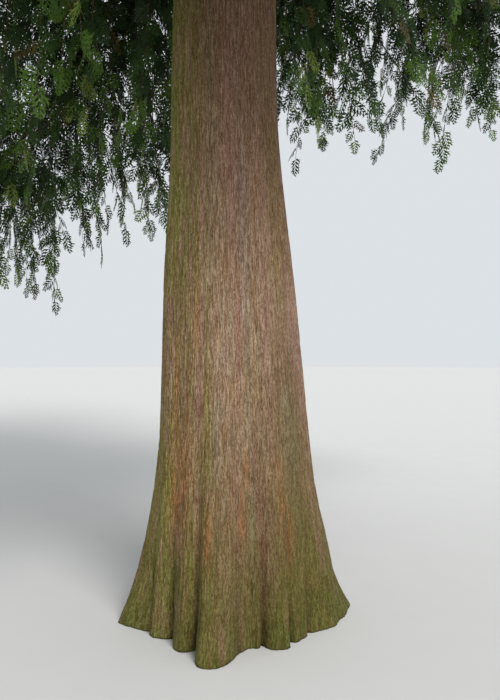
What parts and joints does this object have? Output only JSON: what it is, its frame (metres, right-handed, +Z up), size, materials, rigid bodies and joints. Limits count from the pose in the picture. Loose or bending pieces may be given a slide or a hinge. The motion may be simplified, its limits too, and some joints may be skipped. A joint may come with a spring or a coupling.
{
  "type": "cedar tree",
  "caption": "Whole red cedar type tree: fluted, flared trunk with a slight lean, sagging boughs on a rising spiral, and masses of hanging sprays of scale needles.",
  "frame": {"origin": "middle of the flat cut under the trunk, at ground level", "axes": "+Z up along the trunk; -Y towards the viewer of the picture, the side with the long front root; +X to that viewer's right"},
  "size_m": [8.2443, 8.4982, 19.5003],
  "materials": {
    "trunk bark": "rough, stringy vertical strips",
    "bough bark": "rough",
    "sprays": "matt scale needles"
  },
  "bodies": {
    "root": {"trunk": "trunk bark", "bough_01": "bough bark", "bough_02": "bough bark", "bough_03": "bough bark", "bough_04": "bough bark", "bough_05": "bough bark", "bough_06": "bough bark", "bough_07": "bough bark", "bough_08": "bough bark", "bough_09": "bough bark", "bough_10": "bough bark", "bough_11": "bough bark", "bough_12": "bough bark", "bough_13": "bough bark", "bough_14": "bough bark", "bough_15": "bough bark", "bough_16": "bough bark", "bough_17": "bough bark", "bough_18": "bough bark", "bough_19": "bough bark", "bough_20": "bough bark", "foliage_01": "sprays", "foliage_02": "sprays", "foliage_03": "sprays", "foliage_04": "sprays", "foliage_05": "sprays", "foliage_06": "sprays", "foliage_07": "sprays", "foliage_08": "sprays", "foliage_09": "sprays", "foliage_10": "sprays", "foliage_11": "sprays", "foliage_12": "sprays", "foliage_13": "sprays", "foliage_14": "sprays", "foliage_15": "sprays", "foliage_16": "sprays", "foliage_17": "sprays", "foliage_18": "sprays", "foliage_19": "sprays", "foliage_20": "sprays", "foliage_21": "sprays", "foliage_22": "sprays", "foliage_23": "sprays", "foliage_24": "sprays", "foliage_25": "sprays", "foliage_26": "sprays", "foliage_27": "sprays", "foliage_28": "sprays", "foliage_29": "sprays", "foliage_30": "sprays", "foliage_31": "sprays", "foliage_32": "sprays", "foliage_33": "sprays", "foliage_34": "sprays", "foliage_35": "sprays", "foliage_36": "sprays", "foliage_37": "sprays", "foliage_38": "sprays", "foliage_top": "sprays"}
  },
  "joints": []
}
